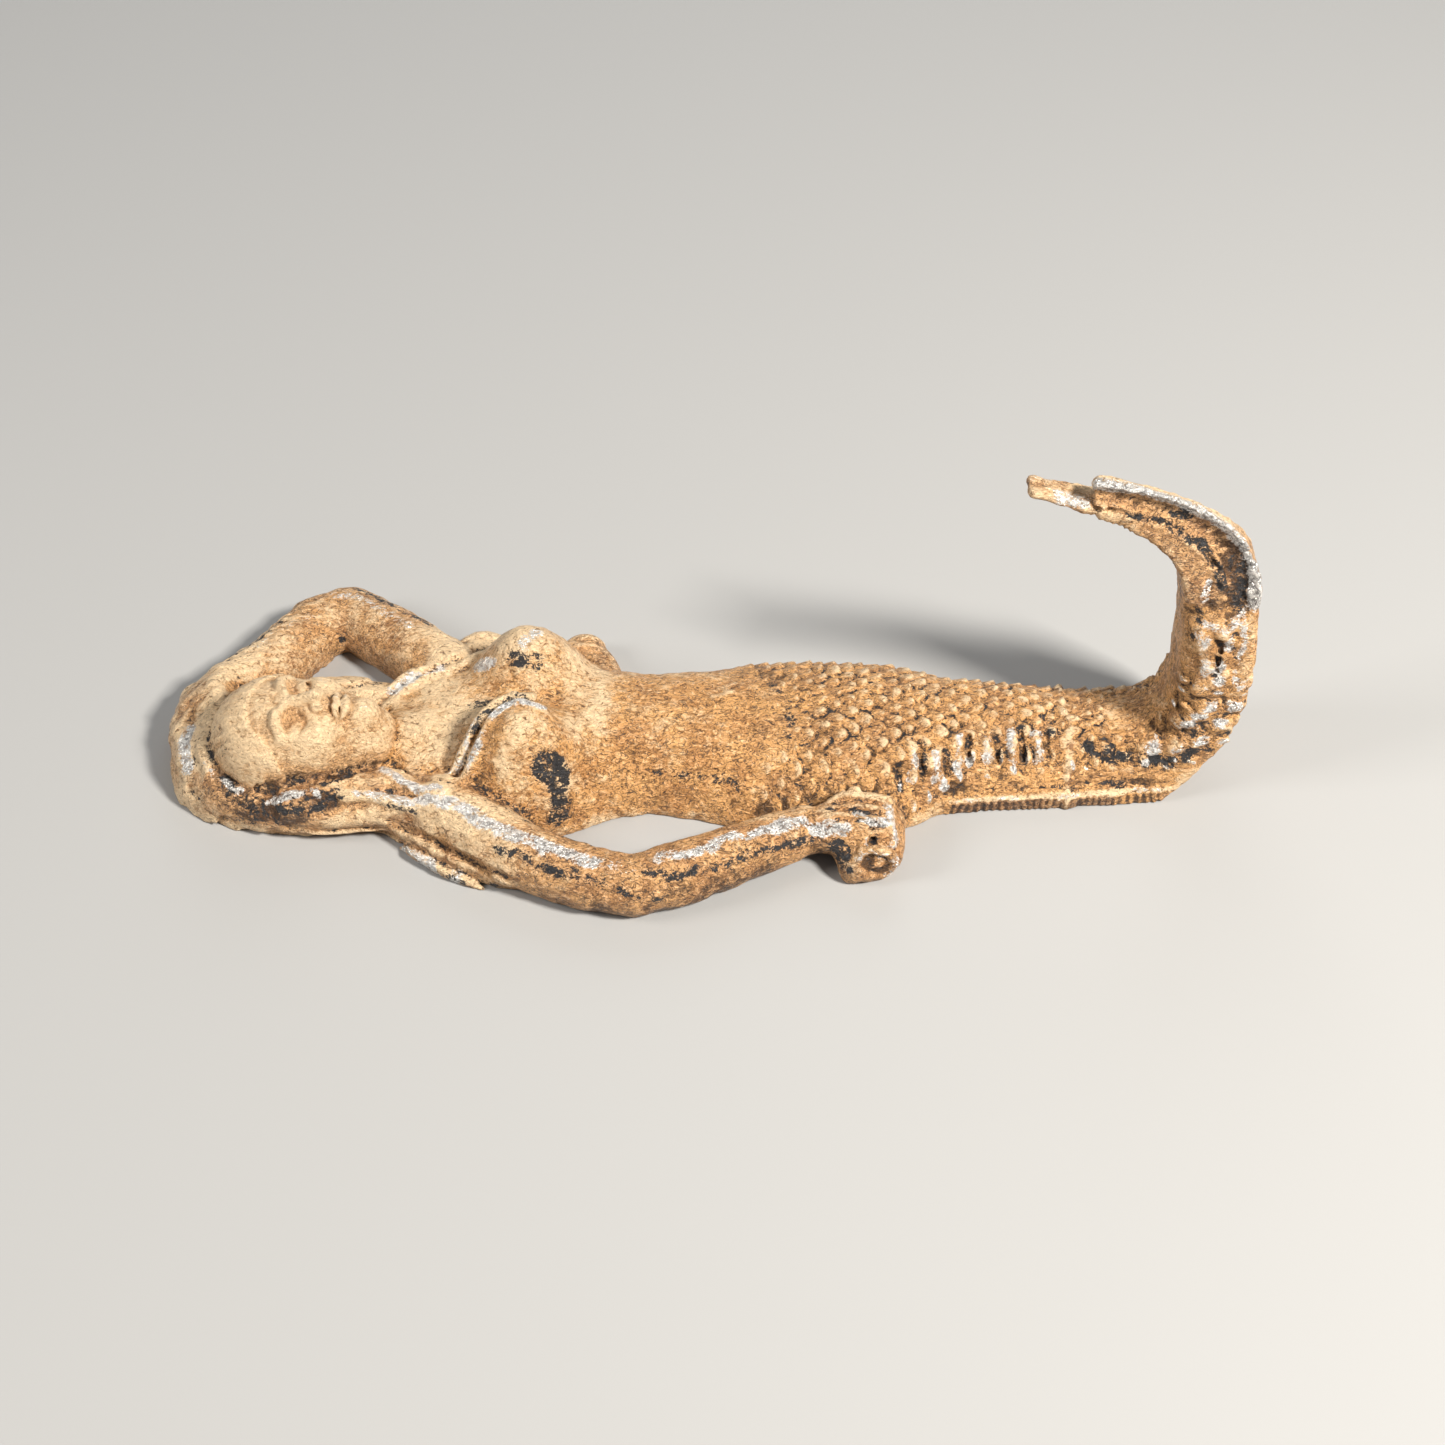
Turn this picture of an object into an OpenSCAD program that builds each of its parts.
// Mermaid hook, one solid iron casting lying on its flat back.
// +X from head to tail bend, -Y her right side, +Z up from the flat back. Millimetres.

/* [Torso] */
// half width of the waist at its narrowest
waist_half_w = 13.6; // [11:0.1:17]
// half width of the hips at their widest
hip_half_w = 17.8; // [15:0.1:21]
// half width of the ribs
rib_half_w = 18.6; // [16:0.1:21]
// height of the belly above the flat back
belly_h = 11.4; // [9:0.1:14]
// radius of each bust dome
bust_r = 10.6; // [8:0.1:12]
// how far each bust dome rises above the ribs
bust_h = 7.6; // [4:0.1:8]
// how far each bust dome sits from the middle
bust_y = 10.4; // [8:0.1:12]

/* [Tail] */
// half width of the narrow part of the tail
tail_half_w = 11.6; // [9:0.1:13]
// height of the narrow part of the tail
tail_h = 9.2; // [7:0.1:12]
// thickness of the flat edge plate under the tail
plate_t = 2.2; // [1.5:0.1:3]

/* [Hook] */
// height of the top of the hook above the flat back
hook_h = 59; // [50:0.5:70]
// thickness of the rising part, measured along X
shank_t = 11; // [8:0.1:13]
// half width of the rising part at its foot
shank_half_w = 8.4; // [6:0.1:10]
// how far the fin reaches back over the tail
fin_reach = 36; // [32:0.5:40]
// half width of the tail fin at its tips
fluke_half_w = 2.6; // [2:0.1:4]

/* [Head] */
// length of the head from crown to chin
head_l = 27; // [24:0.5:30]
// width of the head
head_w = 19.4; // [17:0.1:22]
// height of the face above the flat back
head_top = 18.6; // [16:0.1:21]

/* [Arms] */
// radius of the upper arms
upper_arm_r = 5; // [4:0.1:6]
// radius of the forearms
forearm_r = 4.6; // [3.5:0.1:5.5]
// how far the right elbow's middle is from the middle of the body
right_elbow_y = 31.8; // [28:0.1:34]
// how far the left elbow's middle is from the middle of the body
left_elbow_y = 29.2; // [27:0.1:33]

/* [Hidden] */

// height of the upright wall round the body's edge
edge_h = 1.3;

iron = [0.55, 0.36, 0.2];
pale = [0.66, 0.47, 0.28];
dark = [0.42, 0.27, 0.16];

// region borders along X
chest_x0 = -50;
waist_x0 = -19;
hips_x0 = 8;
lower_x0 = 39;
shank_x0 = 64;

head_c = [-63.5, -5.7, 9.3];
crown_x = head_c[0] - head_l / 2;
chin_x = head_c[0] + head_l / 2;

// half width on her right, half width on her left and height, by X
right_w = [[-50, 13], [-44, 17.5], [-38, 18.6], [-30, rib_half_w + 1.2], [-22, rib_half_w],
    [-15.5, 15], [-9, waist_half_w], [0, 15.2], [8, hip_half_w - 0.5], [17, hip_half_w + 0.3],
    [25, hip_half_w], [30, hip_half_w - 0.6], [35, hip_half_w - 3], [38.5, tail_half_w + 1.2],
    [44, tail_half_w + 0.7], [55, tail_half_w], [64, tail_half_w - 0.6]];
left_w = [[-50, 11], [-44, 16.5], [-38, 18], [-30, rib_half_w], [-22, rib_half_w - 0.8],
    [-15.5, 14.6], [-9, waist_half_w], [0, 15.2], [8, hip_half_w - 0.5], [17, hip_half_w],
    [25, hip_half_w - 0.3], [30, hip_half_w - 0.9], [35, hip_half_w - 2.8], [38.5, tail_half_w + 1.6],
    [44, tail_half_w + 0.8], [55, tail_half_w], [64, tail_half_w - 0.6]];
top_h = [[-50, 9], [-44, 10.2], [-38, 11.2], [-30, 12.4], [-22, 12.6], [-15, belly_h + 0.6],
    [-9, belly_h], [0, belly_h - 0.7], [8, belly_h - 0.8], [17, belly_h - 0.6], [25, belly_h - 0.5],
    [31, belly_h - 0.7], [38.5, tail_h + 1.4], [44, tail_h + 1.2], [50, tail_h + 0.9],
    [57, tail_h], [64, tail_h + 0.3]];

// top surface of the body at (x, y): a rounded back with two domes
function body_z(x, y) =
    let (w = y < 0 ? lookup(x, right_w) : lookup(x, left_w), t = min(1, abs(y) / w))
    max(0, lookup(x, top_h) * pow(max(0, 1 - pow(t, 2.3)), 0.55));
function dome_z(x, y, cx, cy) =
    bust_h * pow(max(0, 1 - (pow(x - cx, 2) + pow(y - cy, 2)) / (bust_r * bust_r)), 1.5);
function chest_z(x, y) = body_z(x, y) + dome_z(x, y, -28.5, -bust_y - 1) + dome_z(x, y, -28.5, bust_y);

// closed solid from a list of closed rings, all with the same number of points
module loft(rings) {
    n = len(rings);
    m = len(rings[0]);
    polyhedron(
        points = [for (r = rings) for (p = r) p],
        faces = concat(
            [[for (j = [m - 1:-1:0]) j]],
            [for (i = [0:n - 2]) for (j = [0:m - 1]) [i * m + j, (i + 1) * m + (j + 1) % m, (i + 1) * m + j]],
            [for (i = [0:n - 2]) for (j = [0:m - 1]) [i * m + j, i * m + (j + 1) % m, (i + 1) * m + (j + 1) % m]],
            [[for (j = [0:m - 1]) (n - 1) * m + j]]),
        convexity = 6);
}

// one slice of the body at x, its flat side at height z0, with a short upright wall at each edge
function body_ring(x, z0, steps) =
    let (a = lookup(x, right_w), b = lookup(x, left_w))
    concat([[x, -a, z0]],
        [for (i = [0:steps]) let (t = i / steps,
            y = -a + (a + b) * (0.35 * t + 0.65 * (0.5 - 0.5 * cos(180 * t))))
            [x, y, max(z0 + edge_h, chest_z(x, y))]],
        [[x, b, z0]]);

module body_part(x0, x1, z0, slices, steps) {
    loft([for (i = [0:slices]) body_ring(x0 + (x1 - x0) * i / slices, z0, steps)]);
}

// rounded limb through points [x, y, z, r], cut flat at the back
module limb(pts, f = 18) {
    intersection() {
        union() {
            for (i = [0:len(pts) - 2]) hull() {
                translate([pts[i][0], pts[i][1], pts[i][2]]) sphere(r = pts[i][3], $fn = f);
                translate([pts[i + 1][0], pts[i + 1][1], pts[i + 1][2]]) sphere(r = pts[i + 1][3], $fn = f);
            }
        }
        translate([-120, -60, 0]) cube([240, 120, 90]);
    }
}

module egg(c, r, f = 26) {
    intersection() {
        hull() translate(c) scale(r) sphere(r = 1, $fn = f);
        translate([-120, -60, 0]) cube([240, 120, 90]);
    }
}

// ---- body ----
module chest_body() {
    body_part(chest_x0, waist_x0, 0, 22, 30);
    // neck
    limb([[chin_x - 4, head_c[1] + 0.4, 5.6, 5.4], [-44, -2.6, 5.2, 5.8]]);
}
module chest() {
    color(iron) difference() {
        chest_body();
        head_shape();
    }
}
module waist() {
    color(iron) body_part(waist_x0, hips_x0, 0, 14, 26);
}
module tail_hips() {
    color(iron) body_part(hips_x0, lower_x0, 0, 16, 26);
}
module tail_lower() {
    color(iron) body_part(lower_x0, shank_x0, plate_t, 12, 24);
}
module tail_plate() {
    color(dark) linear_extrude(plate_t) polygon([
        [lower_x0, -tail_half_w - 1.3], [44, -tail_half_w - 0.9], [55, -tail_half_w - 0.2],
        [shank_x0, -tail_half_w + 0.5], [shank_x0, tail_half_w - 0.5],
        [55, tail_half_w + 0.2], [44, tail_half_w + 0.9], [lower_x0, tail_half_w + 1.5]]);
}
// thin raised line that crosses the tail, left by the mould
module casting_line() {
    w = tail_half_w + 0.65;
    color(pale) difference() {
        loft([for (x = [56.2, 57.7]) concat([[x, -w, 0]],
            [for (i = [0:24]) let (y = -w + 2 * w * (0.5 - 0.5 * cos(7.5 * i)))
                [x, y, max(plate_t + 0.6, body_z(x, y * tail_half_w / w) + 0.55)]],
            [[x, w, 0]])]);
        tail_lower();
        tail_plate();
    }
}

// ---- hook ----
// slices of the rising tail seen from the side: outer point x, z, inner point x, z, half width, squareness
side = [
    [shank_x0, 0, shank_x0, tail_h + 0.3, tail_half_w - 0.5, 0],
    [68, 0, 67.2, tail_h + 0.7, tail_half_w - 0.9, 0.1],
    [72.4, 0.3, 69.6, tail_h + 1.9, tail_half_w - 1.3, 0.25],
    [76.2, 3.2, 71.2, 13.2, tail_half_w - 2, 0.45],
    [79.4, 7.8, 72, 15.8, shank_half_w + 0.6, 0.7],
    [82, 13.2, 83.4 - shank_t, 19.4, shank_half_w, 1],
    [83.2, 19.4, 83.4 - shank_t, 23.4, shank_half_w - 1, 1.4],
    [83.4, 26, 83.2 - shank_t, 27.6, shank_half_w - 1.8, 1.7],
    [83.1, 32, 82.8 - shank_t, 32.2, shank_half_w - 2.5, 1.8],
    [82.4, 37, 82.2 - shank_t, 37, shank_half_w - 3, 1.8]];
function shank_ring(i) =
    let (s = side[i], l = norm([s[2] - s[0], s[3] - s[1]]), nx = (s[2] - s[0]) / l, nz = (s[3] - s[1]) / l)
    [for (j = [0:22]) let (t = j == 0 ? 0 : (j == 22 ? 1 : (j - 1) / 20),
        y = s[4] * (-1 + 2 * (0.35 * t + 0.65 * (0.5 - 0.5 * cos(180 * t)))),
        v = abs(y) / s[4],
        h = (j == 0 || j == 22) ? 0 : max(plate_t, l * pow(max(0, 1 - pow(v, 2.3 + 1.6 * s[5])), 0.55 - 0.2 * s[5])))
        [s[0] + nx * h, y, s[1] + nz * h]];
module hook_shank() {
    color(iron) loft([for (i = [0:len(side) - 1]) shank_ring(i)]);
}
// the fin seen from the side: its root across X, and the curves of its edges
fin_z0 = 37;
fin_back_x = 82.4;
fin_mid_x = fin_back_x - shank_t / 2;
fin_front_x = fin_back_x - shank_t - 0.2;
fin_end_x = fin_back_x - fin_reach;
fin_steps = 8;

// points of a smooth bend from a to c that leans towards b
function bend(a, b, c, n = fin_steps) = [for (i = [0:n]) let (t = i / n)
    a * (1 - t) * (1 - t) + b * 2 * t * (1 - t) + c * t * t];
function flip(v) = [for (i = [len(v) - 1:-1:0]) v[i]];

outer_edge = bend([fin_back_x, fin_z0], [fin_back_x + 0.5, hook_h - 6], [fin_end_x + 10, hook_h]);
fold_edge = bend([fin_mid_x, fin_z0], [fin_mid_x, hook_h - 9], [fin_end_x + 10.5, hook_h - 5]);
under_edge = bend([fin_front_x, fin_z0], [fin_front_x, hook_h - 10.5], [fin_end_x, hook_h - 3.5]);

module outer_outline() {
    polygon(concat(outer_edge, [[fin_end_x + 9, hook_h - 1.5]], flip(fold_edge)));
}
module inner_outline() {
    polygon(concat(fold_edge, [[fin_end_x + 0.5, hook_h - 2]], flip(under_edge)));
}
// balls down the middle of the outer lobe, smaller towards its tip
function dish_ball(i) = let (p = (outer_edge[i] + fold_edge[i]) / 2) [p[0], p[1], 2.3 - 0.1 * i];
module outer_fluke_lobe() {
    color(iron) difference() {
        intersection() {
            rotate([90, 0, 0]) translate([0, 0, -8]) linear_extrude(16) outer_outline();
            // seen from the head: thick at the root, a thin leaf on her right at the tip
            rotate([90, 0, 90]) linear_extrude(100) polygon([[-5.4, 37], [-5, 42], [-4.3, 48], [-3.6, 61],
                [-3.6 + fluke_half_w, 61], [-3.8 + fluke_half_w, 53], [0.2, 48], [2.6, 43], [5.4, 37]]);
        }
        // shallow dish on her right side between the rim and the fold
        for (i = [2:fin_steps - 2]) hull() for (p = [dish_ball(i), dish_ball(i + 1)])
            translate([p[0], lookup(p[1], [[42, -5], [48, -4.3], [61, -3.6]]) - p[2] - 0.7, p[1]])
                sphere(r = p[2] + 1.5, $fn = 14);
    }
}
module inner_fluke_lobe() {
    color(iron) intersection() {
        rotate([90, 0, 0]) translate([0, 0, -8]) linear_extrude(16) inner_outline();
        rotate([90, 0, 90]) linear_extrude(100) polygon([[-5.4, 37], [-4.6, 42], [-3.8, 48], [-3, 60],
            [fluke_half_w - 1.6, 60], [fluke_half_w - 0.4, 50], [4, 43], [5.4, 37]]);
    }
}

// ---- head and hair ----
module head_shape() {
    c = head_c;
    egg([c[0] - 2.2, c[1], c[2]], [head_l / 2 - 2.2, head_w / 2, head_top - c[2]], 28);
    egg([c[0] + 5.2, c[1], c[2] - 0.8], [head_l / 2 - 5.2, head_w / 2 - 2.1, head_top - c[2] - 0.9], 22);
    // chin
    egg([chin_x - 3.4, c[1], head_top - 5.4], [3.2, 3, 3.4], 16);
}
module head() {
    c = head_c;
    color(pale) {
        head_shape();
        // nose from the brow to its tip
        hull() {
            translate([c[0] - 0.2, c[1], head_top - 1]) sphere(r = 1.1, $fn = 12);
            translate([c[0] + 4.4, c[1], head_top - 0.1]) sphere(r = 1.2, $fn = 12);
            translate([c[0] + 5, c[1] - 1.2, head_top - 1.6]) sphere(r = 1, $fn = 10);
            translate([c[0] + 5, c[1] + 1.2, head_top - 1.6]) sphere(r = 1, $fn = 10);
        }
        // closed eyelids
        for (s = [-1, 1]) egg([c[0] + 0.4, c[1] + s * 4, head_top - 2.6], [1.7, 2.5, 1.9], 14);
        // lips
        egg([c[0] + 7.9, c[1], head_top - 2.6], [1, 2.5, 1.6], 14);
        egg([c[0] + 9.4, c[1], head_top - 2.9], [1, 2.1, 1.6], 14);
    }
}
module crown_shape() {
    egg([-71.4, -3.2, 0], [14.2, 13.8, 11.4], 30);
    limb([[-82.2, 8, 3.2, 3.6], [-82.4, 0, 4, 3.6], [-80.2, -7, 4, 3.6], [-75.6, -12.2, 3.4, 3.9], [-68, -14.8, 3.4, 4.2]], 14);
}
module crown_hair() {
    color(iron) difference() {
        crown_shape();
        head_shape();
        translate([-66, -40, -1]) cube([60, 80, 60]);
    }
}
module right_hair_shape() {
    limb([[-68, -13.6, 4.2, 5.6], [-60, -14.6, 4.2, 5.4], [-52, -14.2, 4.2, 5], [-45, -15.4, 4.4, 4.8]], 18);
}
module left_hair_shape() {
    limb([[-68, 5.8, 3.6, 5], [-58, 6, 4.4, 5.2], [-50, 5.4, 4.2, 4.4]], 16);
}
module right_side_hair() {
    color(iron) difference() {
        intersection() {
            right_hair_shape();
            translate([-66, -40, -1]) cube([60, 80, 60]);
        }
        head_shape();
        chest_body();
    }
}
module left_side_hair() {
    color(iron) difference() {
        intersection() {
            left_hair_shape();
            translate([-66, -40, -1]) cube([60, 80, 60]);
        }
        head_shape();
        chest_body();
    }
}
flap_tip = [-31.5, -29.5];
module shoulder_hair_flap() {
    color(dark) difference() {
        hull() {
            linear_extrude(1.4) polygon(concat(bend([-51, -15.5], [-45, -28], flap_tip),
                [[-31, -25.5], [-36, -18]]));
            translate([-45, -17, 5.4]) sphere(r = 2.2, $fn = 12);
            translate([-36.5, -21.5, 5.4]) sphere(r = 2.2, $fn = 12);
        }
        chest_body();
        right_hair_shape();
        right_arm_shape();
        head_shape();
    }
}
// the lock lies in an S over the chest: out towards the arm, then in between the busts
lock_r = 1.7;
lock_out = [-40.5, -18];
lock_in = [-30, -5];
lock_mid = (lock_out + lock_in) / 2;
lock_xy = concat(bend([-49, -12], [-44, -18], lock_out, 3), bend(lock_out, [-37, -18], lock_mid, 3),
    bend(lock_mid, [-33, -5], lock_in, 3), [[-26, -6]]);
module chest_hair_lock() {
    color(pale) difference() {
        limb([for (p = lock_xy) [p[0], p[1], chest_z(p[0], p[1]) - 0.5, lock_r]], 10);
        chest_body();
        right_arm_shape();
        right_hair_shape();
        head_shape();
    }
}
module left_shoulder_strand() {
    color(pale) difference() {
        limb([[-50.5, 3.6, 7, 2.2], [-47, 7, 7.4, 2.4], [-43, 11, 7.6, 2.2], [-38, 12.6, 8.4, 1.8], [-33, 11, 9, 1.4]], 12);
        chest_body();
        left_upper_shape();
        left_hair_shape();
        head_shape();
    }
}
module left_hair_curls() {
    color(iron) difference() {
        union() {
            limb([[-40, 16, 2.4, 4.2], [-37.4, 21.4, 2.2, 3.9], [-32, 18, 2.2, 4]], 14);
            limb([[-25, 16, 2, 3.8], [-20.4, 21, 1.8, 3.8], [-16.5, 14.5, 1.6, 3.2]], 14);
        }
        chest_body();
        waist();
        left_upper_shape();
    }
}

// ---- arms ----
module left_upper_shape() {
    limb([[-42.5, 13.5, 4.8, upper_arm_r + 0.6], [-50, 21, 3.8, upper_arm_r + 0.6], [-60, left_elbow_y, 2.8, 5.4]]);
}
module left_forearm_shape() {
    limb([[-60, left_elbow_y, 2.8, 5.4], [-65.4, 26, 3, forearm_r + 0.8], [-71.4, 16.6, 3.2, forearm_r + 0.8],
        [-78, 10, 3.8, forearm_r]]);
}
module left_upper_arm() {
    color(iron) difference() {
        left_upper_shape();
        chest_body();
    }
}
module left_forearm() {
    color(iron) difference() {
        left_forearm_shape();
        left_upper_shape();
        head_shape();
        crown_shape();
        left_hair_shape();
    }
}
module left_hand() {
    color(pale) difference() {
        union() {
            for (i = [0:3]) limb([[-78 - i * 0.7, 10.6 - i * 0.6, 6.6 - i * 0.4, 2.8],
                [-78.6 - i * 1.5, 5.4 - i * 0.3, 8.6 - i * 0.9, 2], [-77 - i * 1.8, 1.2, 9.3 - i, 1.6]], 10);
        }
        head_shape();
        crown_shape();
        left_forearm_shape();
    }
}
module right_arm_shape() {
    limb([[-40.5, -17, 5, upper_arm_r + 0.6], [-28, -26, 4.3, upper_arm_r + 0.2], [-18.5, -30.1, 4, upper_arm_r - 0.1],
        [-11, -right_elbow_y, 4, 4.7]]);
}
module right_upper_arm() {
    color(iron) difference() {
        right_arm_shape();
        chest_body();
    }
}
module right_forearm_shape() {
    limb([[-11, -right_elbow_y, 4, 4.7], [-4, -29.6, 4.2, forearm_r + 0.4], [15, -21.4, 4.8, forearm_r - 0.6]]);
}
module right_forearm() {
    color(iron) difference() {
        right_forearm_shape();
        right_arm_shape();
        tail_hips();
    }
}
module right_hand_shape() {
    limb([[15.6, -21.4, 4.8, 3.5], [20, -21.6, 5.8, 4]], 14);
    // four fingers and the thumb
    for (i = [0:3]) limb([[20, -23.8 + i * 1.8, 6.2 + i * 0.4, 1.8], [25.2, -24 + i * 1.9, 6.8 + i * 0.4, 1.6],
        [28.2, -23.4 + i * 1.9, 6 + i * 0.4, 1.4]], 10);
    limb([[18.5, -20, 7, 2], [22.4, -17.6, 8.8, 1.6]], 10);
}
module right_hand() {
    color(pale) difference() {
        right_hand_shape();
        right_forearm_shape();
        tail_hips();
    }
}
module hip_tassel() {
    color(iron) difference() {
        union() {
            limb([[21.8, -20, 3, 3.6], [23.6, -25.4, 2.8, 3.6], [27, -23.6, 3.2, 3.8], [27, -18, 3, 4]], 14);
            limb([[22.6, -26.4, 1.8, 2.4], [26, -25.6, 2, 2.6]], 12);
        }
        right_hand_shape();
        right_forearm_shape();
        tail_hips();
    }
}

head();
crown_hair();
right_side_hair();
left_side_hair();
shoulder_hair_flap();
chest_hair_lock();
left_shoulder_strand();
left_hair_curls();
chest();
waist();
left_upper_arm();
left_forearm();
left_hand();
right_upper_arm();
right_forearm();
right_hand();
hip_tassel();
tail_hips();
tail_lower();
tail_plate();
casting_line();
hook_shank();
outer_fluke_lobe();
inner_fluke_lobe();
